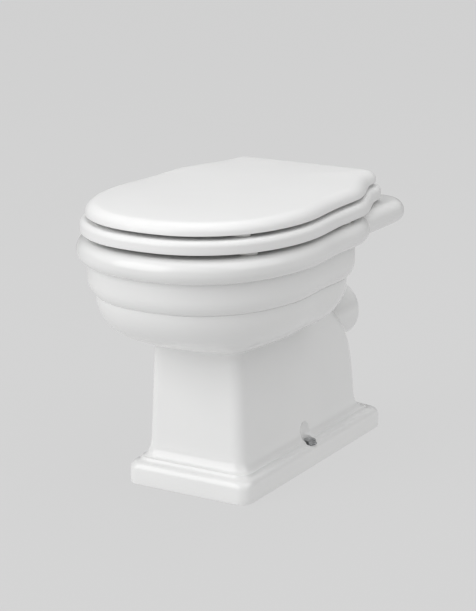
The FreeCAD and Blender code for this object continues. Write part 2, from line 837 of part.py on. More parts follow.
screws_at("seat_leaf_screws", SEAT_LEAF_SCREWS, seat_low - leaf, 14)
screws_at("lid_leaf_screws", LID_LEAF_SCREWS, lid_low - leaf, 14)
seat_rise = seat_low - size("rim_top") - BUFFER_GAP
lid_rise = lid_low - seat_high - BUFFER_GAP
buffers("seat_front_buffers", SEAT_FRONT_BUFFERS, seat_low, seat_rise, FRONT_BUFFER_TURN)
buffers("seat_rear_buffers", SEAT_REAR_BUFFERS, seat_low, seat_rise, 0)
buffers("lid_buffers", LID_BUFFERS, lid_low, lid_rise, FRONT_BUFFER_TURN)
screws_at("seat_buffer_screws", SEAT_FRONT_BUFFERS + SEAT_REAR_BUFFERS,
          seat_low - seat_rise + SCREW_SUNK, seat_rise - SCREW_SUNK + SCREW_BITE)
screws_at("lid_buffer_screws", LID_BUFFERS,
          lid_low - lid_rise + SCREW_SUNK, lid_rise - SCREW_SUNK + SCREW_BITE)

# ---------------------------------------------------------------- check and write
doc.recompute()
for thing in doc.Objects:
    if "Invalid" in thing.State or "Error" in thing.State:
        raise RuntimeError("%s failed: %s" % (thing.Label, thing.State))

os.makedirs("parts", exist_ok=True)
for thing in finished:
    shape = thing.Shape
    if shape.isNull() or not shape.isValid():
        raise RuntimeError("%s has no valid shape" % thing.Label)
    shape.exportStep("parts/%s.step" % thing.Label)
    box = shape.optimalBoundingBox()
    print("%-22s solids %d  volume %10.0f  x %7.1f %7.1f  y %7.1f %7.1f  z %6.1f %6.1f" % (
        thing.Label, len(shape.Solids), shape.Volume, box.XMin, box.XMax,
        box.YMin, box.YMax, box.ZMin, box.ZMax))
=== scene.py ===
# %% [markdown]
# # A china toilet pan with a hinged seat and lid
# The CAD model says where everything is and how it moves. This lesson gives the
# large pieces their real surfaces and every piece its finish. Each large piece is
# a grid of points that a few formulas place, so that the curves stay smooth at any
# distance. All lengths below are millimetres until the mesh is made.

# %% Load the frame
import math
import bpy
import numpy as np
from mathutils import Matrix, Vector


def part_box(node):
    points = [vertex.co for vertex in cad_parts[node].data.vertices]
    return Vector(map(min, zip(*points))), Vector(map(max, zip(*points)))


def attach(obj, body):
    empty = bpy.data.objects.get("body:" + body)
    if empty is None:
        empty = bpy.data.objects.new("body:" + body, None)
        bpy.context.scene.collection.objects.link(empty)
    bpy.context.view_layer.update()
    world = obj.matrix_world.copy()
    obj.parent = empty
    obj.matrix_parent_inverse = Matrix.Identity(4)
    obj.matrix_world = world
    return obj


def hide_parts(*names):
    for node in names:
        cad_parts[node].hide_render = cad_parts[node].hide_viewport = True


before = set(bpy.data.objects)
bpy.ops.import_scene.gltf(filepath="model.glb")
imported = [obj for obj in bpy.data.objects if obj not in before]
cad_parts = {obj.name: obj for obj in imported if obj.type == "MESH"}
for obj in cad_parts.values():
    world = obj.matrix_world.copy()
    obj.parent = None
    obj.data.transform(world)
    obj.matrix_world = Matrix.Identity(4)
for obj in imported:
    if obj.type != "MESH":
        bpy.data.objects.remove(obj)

bpy.context.view_layer.update()


# %% Heights from the frame
def heights(node):
    """Lowest and highest millimetre of a CAD node at rest, to the nearest tenth."""
    low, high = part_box(node)
    return round(low[2] * 1000, 1), round(high[2] * 1000, 1)


RIM_TOP = heights("pan")[1]
SEAT_LOW, SEAT_HIGH = heights("seat_ring")
LID_LOW, LID_HIGH = heights("lid")
print("rim", RIM_TOP, "seat", SEAT_LOW, SEAT_HIGH, "lid", LID_LOW, LID_HIGH)

# %% [markdown]
# ## The camera
# A long lens a little above the rim shows the pan from its front and right. It is
# made first, because everything else is judged through it. The camera sits on a
# sphere round a point inside the bowl: azimuth turns it round, elevation lifts it.

# %% Place the camera
LENS = 117.84
AZIMUTH = math.radians(30.3)
ELEVATION = math.radians(15.1)
DISTANCE = 3.1991
LOOK_AT = Vector((-0.0042, -0.0057, 0.2659))

camera_data = bpy.data.cameras.new("camera")
camera_data.lens = LENS
camera_data.sensor_width = 36.0
camera = bpy.data.objects.new("camera", camera_data)
bpy.context.scene.collection.objects.link(camera)
behind = Vector((
    math.sin(AZIMUTH) * math.cos(ELEVATION),
    -math.cos(AZIMUTH) * math.cos(ELEVATION),
    math.sin(ELEVATION),
))
camera.location = LOOK_AT + behind * DISTANCE
camera.rotation_mode = "QUATERNION"
camera.rotation_quaternion = (-behind).to_track_quat("-Z", "Y")
bpy.context.scene.camera = camera
print("camera at", [round(v, 3) for v in camera.location])

# %% [markdown]
# ## Outlines
# Seen from above, the lid is an egg with a slight waist, an S-shaped shoulder and a
# narrower tail. A closed cubic spline runs through a few chosen points of one half
# and their mirror images. It is C2, so highlights run over it without a break.

# %% A closed spline through a few points
def closed_spline(half, count=3600):
    """Closed C2 cubic through a half outline and its mirror image.

    Between knots the curve is the cubic whose second derivative runs straight from
    one knot to the next; the second derivatives come from one linear system.
    """
    right = np.array(half, float)
    left = right[-2:0:-1] * (-1, 1)
    knots = np.vstack([right, left])
    total = len(knots)
    following = np.roll(knots, -1, axis=0)
    step = np.sqrt(np.linalg.norm(following - knots, axis=1)) * 10
    before = np.roll(step, 1)
    system = np.zeros((total, total))
    rows = np.arange(total)
    system[rows, rows - 1] = before
    system[rows, rows] = 2 * (before + step)
    system[rows, (rows + 1) % total] += step
    rise = (following - knots) / step[:, None]
    bend = np.linalg.solve(system, 6 * (rise - np.roll(rise, 1, axis=0)))
    share = np.linspace(0, 1, count // total + 1)[:-1, None]
    length = step[:, None, None]
    low, high = (1 - share) * length, share * length
    here, there = bend[:, None], np.roll(bend, -1, axis=0)[:, None]
    curve = (here * low ** 3 / (6 * length) + there * high ** 3 / (6 * length)
             + (knots[:, None] / length - here * length / 6) * low
             + (following[:, None] / length - there * length / 6) * high)
    return curve.reshape(-1, 2)


LID_HALF = [
    (0, -299.4), (40, -296.5), (80, -283.5), (121.5, -254.5), (152, -214),
    (173, -158), (179.8, -98), (176.2, -45), (173.4, 0), (172.8, 45),
    (169.5, 84), (153.5, 131), (139.5, 171), (134.8, 198), (127, 216),
    (108, 222.6), (55, 224.2), (0, 224.6),
]
lid_line = closed_spline(LID_HALF)
print("lid outline", len(lid_line), "points, width", round(float(np.ptp(lid_line[:, 0])), 1))

# %% Outlines of the rim roll and the band
ROLL_HALF = [
    (0, -316), (42, -312.6), (85, -298.5), (130, -267), (163, -223.5),
    (186, -163), (194.5, -98), (191.5, -45), (189.5, 0), (189.5, 40),
    (185, 78), (168, 112), (138, 135), (80, 148), (0, 152),
]
BAND_HALF = [
    (0, -298), (40, -294.5), (80, -281.5), (120, -253), (150, -214),
    (171, -160), (179, -103), (176, -45), (176.3, 0), (176, 30),
    (168, 65), (145, 93), (105, 112), (50, 120), (0, 122),
]
roll_line = closed_spline(ROLL_HALF)
band_line = closed_spline(BAND_HALF)
print("widths", [round(float(np.ptp(line[:, 0])), 1) for line in (roll_line, band_line)])


# %% Rounded rectangles, and outlines moved in or out
def rounded_box(half_width, front, back, radius, count=3600):
    """Outline of a rectangle with round corners, walked from the middle of its front."""
    turn = np.radians(np.linspace(0, 90, count // 8))
    corners = [
        (half_width - radius, front + radius, -90), (half_width - radius, back - radius, 0),
        (radius - half_width, back - radius, 90), (radius - half_width, front + radius, 180),
    ]
    arcs = []
    for across, middle, start in corners:
        angle = turn + math.radians(start)
        arcs.append(np.c_[across + radius * np.cos(angle), middle + radius * np.sin(angle)])
    loop = np.vstack(arcs + [arcs[0][:1]])
    path = np.r_[0, np.cumsum(np.linalg.norm(np.diff(loop, axis=0), axis=1))]
    even = np.linspace(0, path[-1], count, endpoint=False)
    return np.c_[np.interp(even, path, loop[:, 0]), np.interp(even, path, loop[:, 1])]


def offset(outline, distance):
    """The outline moved outwards along its own normal; a minus moves it inwards."""
    along = np.roll(outline, -1, axis=0) - np.roll(outline, 1, axis=0)
    normal = np.c_[along[:, 1], -along[:, 0]]
    return outline + normal / np.linalg.norm(normal, axis=1)[:, None] * distance


deck_line = rounded_box(166.5, -100, 284, 52)
print("deck", np.round(np.ptp(deck_line, axis=0), 1))

# %% [markdown]
# ## Rays and smooth joins
# The china changes from an oval at the rim to a rectangle at the floor. Both are
# measured along the same rays from one middle point, so a level of the pan is just
# one radius for each ray. Where two forms meet, the larger radius wins, and a small
# polynomial rounds the join, as thick glaze does in a corner.

# %% Rays from the middle
MIDDLE = np.array([0.0, 10.0])
RAYS = 330


def ray_angles(count, peaks):
    """Angles from -180 to 180 degrees, measured from the front, closer near the peaks.

    The density is 1 plus a bell curve at each peak; the angles divide its sum evenly.
    """
    fine = np.linspace(-180, 180, 7201)
    density = np.ones_like(fine)
    for place, width, height in peaks:
        density += height * np.exp(-((np.abs(fine) - place) / width) ** 2)
    total = np.r_[0, np.cumsum((density[1:] + density[:-1]) / 2)]
    share = np.linspace(0, total[-1], count, endpoint=False)
    return np.radians(np.interp(share, total, fine))


angles = ray_angles(RAYS, [(29.0, 3.5, 3.5), (124.0, 3.0, 3.5), (157.0, 5.0, 2.0)])
heading = np.c_[np.sin(angles), -np.cos(angles)]
print(RAYS, "rays, closest", round(float(np.degrees(np.diff(angles).min())), 3), "degrees")


# %% Radii and joins
def radii(outline, middle=MIDDLE, at=angles):
    """Distance from the middle to the outline along each ray."""
    reach = outline - middle
    turn = np.arctan2(reach[:, 0], -reach[:, 1])
    return np.interp(at, turn, np.hypot(reach[:, 0], reach[:, 1]), period=2 * np.pi)


def placed(radius):
    """Points on the rays at these radii."""
    return MIDDLE + heading * radius[:, None]


def soft_max(first, second, blend):
    """The larger value, with the corner between them rounded over a width of blend."""
    near = np.maximum(blend - np.abs(first - second), 0)
    return np.maximum(first, second) + near ** 2 / (4 * blend)


def smooth_step(value):
    """Runs from 0 to 1 with level ends."""
    value = np.clip(value, 0, 1)
    return value * value * (3 - 2 * value)


band_radius = radii(band_line)
print("band radius from", round(band_radius.min(), 1), "to", round(band_radius.max(), 1))

# %% [markdown]
# ## Grids into meshes
# A grid has one row for each level and one column for each ray. Rows join round, and
# the first and last row close in a fan on a pole, or join each other on a ring.
# Several grids can share a mesh: each one's numbers start where the last one's end.

# %% Points and faces of a grid
def grid_parts(grid, closed_ends=True):
    """Points, quads and fans of grid[level, ray, xyz]; rows run round, ends are fans.

    A quad joins a point, its neighbour on the row and the two above them. A fan's
    triangles meet in the mean of its row.
    """
    levels, count, _ = grid.shape
    points = grid.reshape(-1, 3)
    column = np.arange(count)
    after = (column + 1) % count
    last = levels - 1 if closed_ends else levels
    row = np.arange(last)[:, None] * count
    above = (np.arange(last)[:, None] + 1) % levels * count
    quads = np.stack([row + column, row + after, above + after, above + column], -1)
    fans = np.empty((0, 3), int)
    if closed_ends:
        points = np.vstack([points, grid[0].mean(0), grid[-1].mean(0)])
        low, high = levels * count, levels * count + 1
        base = (levels - 1) * count
        fans = np.vstack([np.c_[after, column, np.full(count, low)],
                          np.c_[base + column, base + after, np.full(count, high)]])
    return points, quads.reshape(-1, 4), fans


def outward(mesh):
    """Turn all faces outwards if the closed mesh holds a negative volume."""
    mesh.calc_loop_triangles()
    corners = np.empty(len(mesh.loop_triangles) * 3, int)
    mesh.loop_triangles.foreach_get("vertices", corners)
    spots = np.empty(len(mesh.vertices) * 3)
    mesh.vertices.foreach_get("co", spots)
    one, two, three = spots.reshape(-1, 3)[corners.reshape(-1, 3)].transpose(1, 0, 2)
    volume = np.einsum("ij,ij->", one, np.cross(two, three)) / 6
    if volume < 0:
        mesh.flip_normals()
    print(mesh.name, "litres", round(abs(volume) * 1000, 3), "faces", len(mesh.polygons))
    return mesh


# %% One mesh from several grids
def grids_mesh(name, grids, closed_ends=True):
    """Mesh in metres from grids in millimetres, with its faces turned outwards."""
    points, faces, base = [], [], 0
    for grid in grids:
        spots, quads, fans = grid_parts(grid, closed_ends)
        points.append(spots)
        faces += (base + quads).tolist() + (base + fans).tolist()
        base += len(spots)
    mesh = bpy.data.meshes.new(name)
    mesh.from_pydata((np.vstack(points) * 0.001).tolist(), [], faces)
    mesh.update()
    return outward(mesh)


def show(name, mesh, sharp=40.0):
    """Put a mesh in the scene, smooth but for edges sharper than this many degrees."""
    mesh.shade_smooth()
    mesh.set_sharp_from_angle(angle=math.radians(sharp))
    thing = bpy.data.objects.new(name, mesh)
    bpy.context.scene.collection.objects.link(thing)
    return thing


# %% [markdown]
# ## The pan's inside: sump, bowl, flush channel and lip
# A washdown bowl narrows to a small sump. Under the rim an open channel carries the
# flush water round, hidden by a lip that hangs down. The levels run up from the
# bottom of the sump, along the channel's roof, down and up the lip.

# %% Ovals and levels
levels = []


def oval(half_width, front, back):
    """Ellipse on the same angles as the rays, round its own middle."""
    reach = np.array([half_width, (back - front) / 2])
    return np.array([0, (front + back) / 2]) + heading * reach


def row_at(points, height):
    """One row of a grid: plan points and a height, or a height for each point."""
    return np.c_[points, np.broadcast_to(height, len(points))]


def level(points, height):
    """Add one row to the pan."""
    levels.append(row_at(points, height))


mouth = oval(142, -266, 62)
sump = oval(45, -106, -6)
sump_floor = oval(34, -92, -20)
print("mouth", np.round(np.ptp(mouth, axis=0)), "sump", np.round(np.ptp(sump, axis=0)))

# %% Levels of the sump and the bowl
SUMP_HEIGHT = 100
BAND_FOOT = 321.0
sump_middle = sump_floor.mean(0)
for share in (0.04, 0.35, 0.65, 0.85, 1.0):
    level(sump_middle + (sump_floor - sump_middle) * share, SUMP_HEIGHT + 1.5 * share ** 2)
for turn in np.radians(np.linspace(20, 90, 5)):
    height = SUMP_HEIGHT + 1.5 + 22 * (1 - np.cos(turn))
    level(sump_floor + (sump - sump_floor) * np.sin(turn), height)

brim = placed(radii(offset(band_line, -24)))
channel = placed(radii(offset(band_line, -14)))
WALL_HEIGHTS = np.array([125, 150, 180, 205, 225, 242, 257, 270, 290, 321, 345.0])
WALL_SHARES = np.array([0, 0.02, 0.06, 0.11, 0.17, 0.3, 0.48, 0.66, 0.86, 1.0, 1.0])
for height in np.r_[np.linspace(132, 225, 6), np.linspace(233, BAND_FOOT, 15)]:
    level(sump + (brim - sump) * np.interp(height, WALL_HEIGHTS, WALL_SHARES), height)
print("bowl levels", len(levels))

# %% Levels of the flush channel and the lip
CHANNEL_ROOF, LIP_FOOT, LIP = 398, 370, 10
MOUTH_ROUND = 7.5
for mix in (0.3, 0.7, 1.0):
    level(brim + (channel - brim) * smooth_step(mix), BAND_FOOT + 26 * mix)
for inset, drop in ((0, 5), (1.5, 1.4), (5, 0)):
    level(offset(channel, -inset), CHANNEL_ROOF - drop)
lip_out = offset(mouth, LIP)
for grow, drop in ((3, 0), (0.8, 1.2), (0, 4), (0, CHANNEL_ROOF - LIP_FOOT)):
    level(offset(lip_out, grow), CHANNEL_ROOF - drop)
for turn in np.radians(np.linspace(18, 162, 7)):
    level(offset(mouth, LIP / 2 + LIP / 2 * np.cos(turn)), LIP_FOOT - LIP / 2 * np.sin(turn))
for height in (LIP_FOOT, 380, 392, RIM_TOP - MOUTH_ROUND):
    level(mouth, height)
for turn in np.radians(np.linspace(15, 90, 6)):
    height = RIM_TOP - MOUTH_ROUND + MOUTH_ROUND * np.sin(turn)
    level(offset(mouth, MOUTH_ROUND * (1 - np.cos(turn))), height)
print("inside levels", len(levels))

# %% [markdown]
# ## The rim roll, the deck and the band
# The rim's edge is a half circle. The roll closes behind the shoulder, and the deck
# that carries the hinges is a slab of its own: their union leaves a narrow valley
# where they meet. The deck is open underneath, where a hand reaches the wing nuts.

# %% Levels of the rim
ROLL_RISE, ROLL_DEPTH = 19.0, 18.7


def rim_ring(inset):
    """Radii of roll and deck, both moved inwards, with the valley between them rounded."""
    return soft_max(radii(offset(roll_line, -inset)), radii(offset(deck_line, -inset)), 3.0)


start = levels[-1][:, :2]
for mix in (0.25, 0.5, 0.75):
    level(start + (placed(rim_ring(ROLL_DEPTH)) - start) * mix, RIM_TOP)
for turn in np.radians(np.linspace(90, -86, 25)):
    ring = rim_ring(ROLL_DEPTH * (1 - np.cos(turn)))
    if turn < 0:
        ring = soft_max(ring, band_radius, 1.2)
    level(placed(ring), RIM_TOP - ROLL_RISE + ROLL_RISE * np.sin(turn))
print("levels round the roll", len(levels))

# %% Levels under the rim and the deck
LEDGE = 370.0
RECESS_MIDDLE, RECESS_REACH, RECESS_CORNER = (0, 203), (114.5, 29), 36
RECESS_DEPTH, SOCKET_HALF = 24, 38


def recess(points):
    """How far the deck's underside is hollowed.

    The full depth inside a rounded rectangle, nothing outside it or over the flush
    socket in its middle, with a smooth step between.
    """
    gap = np.abs(points - RECESS_MIDDLE) - RECESS_REACH
    outside = np.hypot(*np.maximum(gap, 0).T) + np.minimum(gap.max(1), 0) - RECESS_CORNER
    beside = np.abs(points[:, 0]) - SOCKET_HALF
    return RECESS_DEPTH * smooth_step(-outside / 3) * smooth_step(beside / 2)


edge = levels[-1][:, :2]
for mix in np.linspace(0, 1, 27)[1:] ** 0.9:
    points = edge + (placed(band_radius) - edge) * mix
    level(points, LEDGE + 1.9 * (1 - mix) + recess(points))
print("levels down to the band", len(levels))

# %% Levels of the band
BAND_CURL, CURL_IN, CURL_DOWN = 346, 20, 26.6
for height in (362, 354, BAND_CURL):
    level(placed(band_radius), height)
for turn in np.radians(np.linspace(9, 64, 9)):
    ring = radii(offset(band_line, -CURL_IN * (1 - np.cos(turn))))
    level(placed(ring), BAND_CURL - CURL_DOWN * np.sin(turn))
crease = radii(offset(band_line, -12.2))
level(placed(crease - 0.4), BAND_FOOT + 0.4)
print("levels down to the crease", len(levels))

# %% [markdown]
# ## The pedestal's section
# The pedestal is a rounded rectangle that narrows upwards. Its back leans forward,
# slowly at first and then with the fourth power of the height. The hollow inside it
# is the same section less the china's wall.

# %% Section of the pedestal
STEM_FOOT, BOWL_FOOT = 60.0, 238.0
WALL, INNER_CORNER = 12, 10


def column(height, wall=0, corner=20):
    """Radii of the pedestal at a height, or of its hollow if a wall is taken off."""
    rise = np.clip((height - STEM_FOOT) / (BOWL_FOOT - STEM_FOOT), 0, 1.3)
    back = 242 - wall - 14 * rise - 69 * rise ** 4
    return radii(rounded_box(88 - wall - 8 * rise, -150 + wall + 2 * rise, back, corner))


COLUMN_HEIGHTS = np.arange(STEM_FOOT, 326.0)
column_table = np.array([column(height) for height in COLUMN_HEIGHTS])


def column_at(height):
    """The pedestal's radius on each ray at that ray's own height, read from a table."""
    row = np.clip(height - COLUMN_HEIGHTS[0], 0, len(COLUMN_HEIGHTS) - 1.001)
    low = row.astype(int)
    mix, ray = row - low, np.arange(RAYS)
    return column_table[low, ray] * (1 - mix) + column_table[low + 1, ray] * mix


print("column table", column_table.shape)

# %% [markdown]
# ## The bowl's underside
# The underside is a quarter ellipse on every ray. It ends short of the pedestal, and
# a curve with three control points turns the corner: wide and soft at the front,
# where the potter's sponge could reach, and tight along the sides.

# %% Underside of the bowl
neck = column(BOWL_FOOT)
reach = crease - neck
fall_height = BAND_FOOT - BOWL_FOOT
front_share = np.exp(-(np.degrees(angles) / 30) ** 2)
short = np.minimum(4 + 34 * front_share, 0.45 * np.abs(reach))
last_turn = np.arccos(short / np.maximum(np.abs(reach), 0.001))
for share in np.linspace(0, 1, 24):
    height = BAND_FOOT - fall_height * np.sin(share * last_turn)
    ring = neck + reach * np.cos(share * last_turn)
    level(placed(soft_max(ring, column_at(height), 3.0)), height)
print("underside levels", len(levels))

# %% The turn into the pedestal
enter_radius, enter_height = ring, height
corner_height = enter_height - fall_height * np.cos(last_turn) ** 2 / np.sin(last_turn)
leave_height = corner_height - 4 - 30 * front_share
leave_radius = column_at(leave_height)
for share in np.linspace(0, 1, 12)[1:]:
    near, middle, far = (1 - share) ** 2, 2 * share * (1 - share), share ** 2
    ring = near * enter_radius + middle * neck + far * leave_radius
    height = near * enter_height + middle * corner_height + far * leave_height
    level(placed(soft_max(ring, column_at(height), 3.01 - 3.0 * share)), height)
print("levels down to the pedestal", len(levels))

# %% [markdown]
# ## The pedestal and its foot
# Below the bowl a near-upright column stands on a moulded foot: a cove sweeps out of
# the column, a small step follows, then a sloping top and a rounded arris. The
# moulding is one profile: a share that runs from the column (0) to the foot (1).

# %% Levels of the pedestal
for share in (0.25, 0.6, 1.0):
    height = leave_height + (196 - leave_height) * share
    level(placed(column_at(height)), height)
for height in np.linspace(184, 82, 10):
    level(placed(column(height)), height)
print("levels down to the foot", len(levels))

# %% Levels of the foot
foot = radii(rounded_box(111, -176, 291, 20))
cove = np.radians(range(0, 91, 10))
arris = np.radians(range(84, -1, -7))
profile = np.vstack([
    np.c_[72 - 30 * np.sin(cove), 0.44 * (1 - np.cos(cove))],
    [(41.0, 0.455), (39.6, 0.475), (38.2, 0.505), (37.2, 0.55), (36.4, 0.60)],
    np.c_[22 + 13.8 * np.sin(arris), 0.66 + 0.34 * np.cos(arris)],
    [(12, 1.0), (2.5, 1.0), (0.8, 0.985), (0, 0.94)],
])
for height, share in profile:
    stem = column(height)
    level(placed(stem + (foot - stem) * share), height)
hollow = placed(column(0, WALL, INNER_CORNER))
last = levels[-1][:, :2]
for mix in (0.5, 1.0):
    level(last + (hollow - last) * mix, 0)
print("levels down to the floor", len(levels))

# %% [markdown]
# ## The hollow under the pan
# The casting is open to the floor. Its ceiling hangs down round the sump and the
# trap: the lowest point of a row of balls along the trap's path, and of the sump's
# own floor, gives a height for every point of the plan.

# %% The trap's path and the ceiling over it
TRAP_OUT, SPIGOT_OUT, BORE = 53.0, 51.0, 42.0
sump_end, sump_bend, weir, fall, outlet = (-56, 146), (8, 122), (118, 230), (166, 190), (316, 190)
HOLLOW_TOP, CEILING = 205, 226
trap_path = np.array([sump_bend, weir, fall, outlet], float)
runs = np.linspace(0, 1, 24)[:, None]
balls = (trap_path[:-1, None] + np.diff(trap_path, axis=0)[:, None] * runs).reshape(-1, 2)


def ceiling(points):
    """Height of the hollow's ceiling over a plan point.

    Under each ball it is the ball's height less the root of its radius squared minus
    the plan distance squared; the sump's floor is an oval dish that rises outside.
    """
    gap = np.hypot(points[:, None, 0], points[:, None, 1] - balls[:, 0])
    under_ball = balls[:, 1] - np.sqrt(np.maximum(TRAP_OUT ** 2 - gap ** 2, 0))
    lowest = np.where(gap < TRAP_OUT, under_ball, CEILING).min(1)
    spread = np.hypot(points[:, 0] / 57, (points[:, 1] + 56) / 62)
    dish = 88 + 40 * smooth_step((spread - 0.7) / 0.3) + 400 * np.maximum(spread - 1, 0)
    return -soft_max(-lowest, -dish, 12.0)


print(len(balls), "balls along the trap")

# %% Levels of the hollow, and the casting's mesh
for height in (30, 60, 90, 120, 150, 175, 192, HOLLOW_TOP):
    level(placed(column(height, WALL, INNER_CORNER)), height)
wall_ring = levels[-1][:, :2]
for mix in np.linspace(0, 0.985, 22)[1:]:
    points = wall_ring + (MIDDLE - wall_ring) * mix
    away = smooth_step(mix * 14)
    level(points, ceiling(points) * away + HOLLOW_TOP * (1 - away))
pan_grid = np.array(levels)
print("pan grid", pan_grid.shape)
pan = show("china_pan", grids_mesh("china_pan", [pan_grid]), 38)

# %% [markdown]
# ## The trap, the outlet and the flush socket
# The waste leaves through a trap that climbs over a weir behind the bowl and falls to
# a level spigot. Simple closed rods and balls are added to the casting one by one,
# and smaller ones are then cut from it for the passage. A Boolean is the plain way to
# join or cut round forms in a curved wall. Each is applied at once.

# %% Rods as grids
def rod_grid(start, stop, radius, sides=96, lip=0.0):
    """Rod in the plane X = 0 from start to stop, each a pair of Y and Z.

    Circles of the radius stand square to the line; with a lip the last ones shrink
    along a quarter circle, which rounds that end.
    """
    start, stop = np.array(start, float), np.array(stop, float)
    length = np.linalg.norm(stop - start)
    way = (stop - start) / length
    lift = np.array([-way[1], way[0]])
    runs = np.linspace(0, length - lip, max(2, int(length // 9)))
    radii_there = np.full(len(runs), float(radius))
    if lip:
        turn = np.radians(np.linspace(12, 90, 7))
        runs = np.r_[runs, length - lip + lip * np.sin(turn)]
        radii_there = np.r_[radii_there, radius - lip + lip * np.cos(turn)]
    around = np.linspace(0, 2 * np.pi, sides, endpoint=False)
    across = radii_there[:, None] * np.cos(around)
    rise = radii_there[:, None] * np.sin(around)
    spot = start + way * runs[:, None]
    return np.stack([across, spot[:, :1] + lift[0] * rise, spot[:, 1:] + lift[1] * rise], -1)


# %% Balls and upright holes as grids
def ball_grid(centre, radius, sides=96):
    """Ball at a pair of Y and Z: circles of latitude round an axis along X."""
    tilt = np.radians(np.linspace(-86, 86, 33))[:, None]
    around = np.linspace(0, 2 * np.pi, sides, endpoint=False)
    across = radius * np.sin(tilt) * np.ones_like(around)
    back = centre[0] + radius * np.cos(tilt) * np.cos(around)
    return np.stack([across, back, centre[1] + radius * np.cos(tilt) * np.sin(around)], -1)


def upright_rings(spot, stops, sides=64):
    """Rings round an upright axis, one for each stop, a pair of radius and height.

    Either is one number, or one for each side of the ring.
    """
    around = np.linspace(0, 2 * np.pi, sides, endpoint=False)
    return np.array([
        row_at(np.c_[spot[0] + radius * np.cos(around), spot[1] + radius * np.sin(around)],
               height) for radius, height in stops])


print("a ball has", ball_grid(weir, BORE).shape, "points")


# %% Join or cut with a Boolean
def carve(base, grid, operation):
    """Join a closed grid to the base or cut it away, and keep only the result."""
    tool = show("tool", grids_mesh("tool", [grid]))
    modifier = base.modifiers.new(operation.lower(), "BOOLEAN")
    modifier.operation = operation
    modifier.solver = "EXACT"
    modifier.object = tool
    graph = bpy.context.evaluated_depsgraph_get()
    result = bpy.data.meshes.new_from_object(base.evaluated_get(graph))
    base.modifiers.clear()
    old, base.data = base.data, result
    spent = tool.data
    bpy.data.objects.remove(tool)
    bpy.data.meshes.remove(spent)
    bpy.data.meshes.remove(old)
    result.name = base.name
    print(operation, len(result.polygons), [round(v, 3) for v in base.dimensions])


# %% [markdown]
# The balls at the bends are a hair larger than the rods, so that no two faces lie on
# each other, which a Boolean doesn't like. The trap's outside steps down to the
# standard size of the spigot.

# %% Join the tubes
PROUD = 0.06
SOCKET_OUT, SOCKET_BORE, SOCKET_HEIGHT = 37.0, 27.5, 346
for grid in (
        rod_grid((52, 165.2), weir, TRAP_OUT), ball_grid(weir, TRAP_OUT + PROUD),
        rod_grid(weir, fall, TRAP_OUT), ball_grid(fall, TRAP_OUT + PROUD),
        rod_grid(fall, (238, fall[1]), TRAP_OUT, lip=2.0),
        rod_grid((200, outlet[1]), outlet, SPIGOT_OUT, lip=3.0),
        rod_grid((100, SOCKET_HEIGHT), (294, SOCKET_HEIGHT), SOCKET_OUT, 72, lip=3.0)):
    carve(pan, grid, "UNION")

# %% Cut the passages
for grid in (
        rod_grid(sump_end, sump_bend, BORE), ball_grid(sump_bend, BORE + PROUD),
        rod_grid(sump_bend, weir, BORE), ball_grid(weir, BORE + PROUD),
        rod_grid(weir, fall, BORE), ball_grid(fall, BORE + PROUD),
        rod_grid(fall, (340, outlet[1]), BORE),
        rod_grid((92, SOCKET_HEIGHT), (310, SOCKET_HEIGHT), SOCKET_BORE, 72)):
    carve(pan, grid, "DIFFERENCE")

# %% [markdown]
# Two holes in the deck take the hinge studs. On each side of the foot a hole takes a
# floor screw: its head stands on a flat seat, and a dish gives the fingers room.

# %% Cut the holes
HINGE_SPOT, SCREW_SPOT = (77.5, 248), (99, 49)
SCOOP_FLOOR = 34
DISH_ACROSS, DISH_HEIGHT, DISH_RADIUS = 108, 58, 24
screw_hole = [(6.5, -5), (6.5, SCOOP_FLOOR), (12.4, SCOOP_FLOOR + 0.01),
              (13.0, SCOOP_FLOOR + 0.8), (13.0, 60)]
turn = np.radians(range(3, 178, 6))
dish = np.c_[DISH_RADIUS * np.sin(turn), DISH_HEIGHT - DISH_RADIUS * np.cos(turn)]
for side in (-1, 1):
    hinge_hole = upright_rings((side * HINGE_SPOT[0], HINGE_SPOT[1]), [(7, 385), (7, 425)])
    carve(pan, hinge_hole, "DIFFERENCE")
    carve(pan, upright_rings((side * SCREW_SPOT[0], SCREW_SPOT[1]), screw_hole), "DIFFERENCE")
    carve(pan, upright_rings((side * DISH_ACROSS, SCREW_SPOT[1]), dish), "DIFFERENCE")
pan.data.shade_smooth()
pan.data.set_sharp_from_angle(angle=math.radians(38))
print("china faces", len(pan.data.polygons), "size", [round(v, 4) for v in pan.dimensions])

# %% [markdown]
# ## The seat ring
# A board with a sharp lower arris, an upright side, a round-over and an oval opening
# with soft edges. Its section is a closed loop, so the grid is a ring in both ways:
# every point mixes the outer outline and the opening along one ray.

# %% Rings of the seat
SEAT_MIDDLE = np.array([0.0, -80.0])
seat_angles = ray_angles(360, [(150.0, 14.0, 1.5)])
seat_line = offset(lid_line, 8)


def on_rays(outline, middle, turns):
    """The outline's points on the rays that leave a middle at these angles."""
    reach = radii(outline, middle, turns)
    return middle + np.c_[np.sin(turns), -np.cos(turns)] * reach[:, None]


def side_at(inset):
    """The seat's outline moved inwards, on the seat's rays."""
    return on_rays(offset(seat_line, -inset), SEAT_MIDDLE, seat_angles)


def opening_at(grow):
    """The oval opening, grown outwards, on the seat's rays."""
    turn = np.linspace(0, 2 * np.pi, 3600, endpoint=False)
    ellipse = np.c_[117 * np.sin(turn), -97 - 145 * np.cos(turn)]
    return on_rays(offset(ellipse, grow), SEAT_MIDDLE, seat_angles)


print("seat", np.round(np.ptp(side_at(0), axis=0)), "opening", np.ptp(opening_at(0), axis=0))

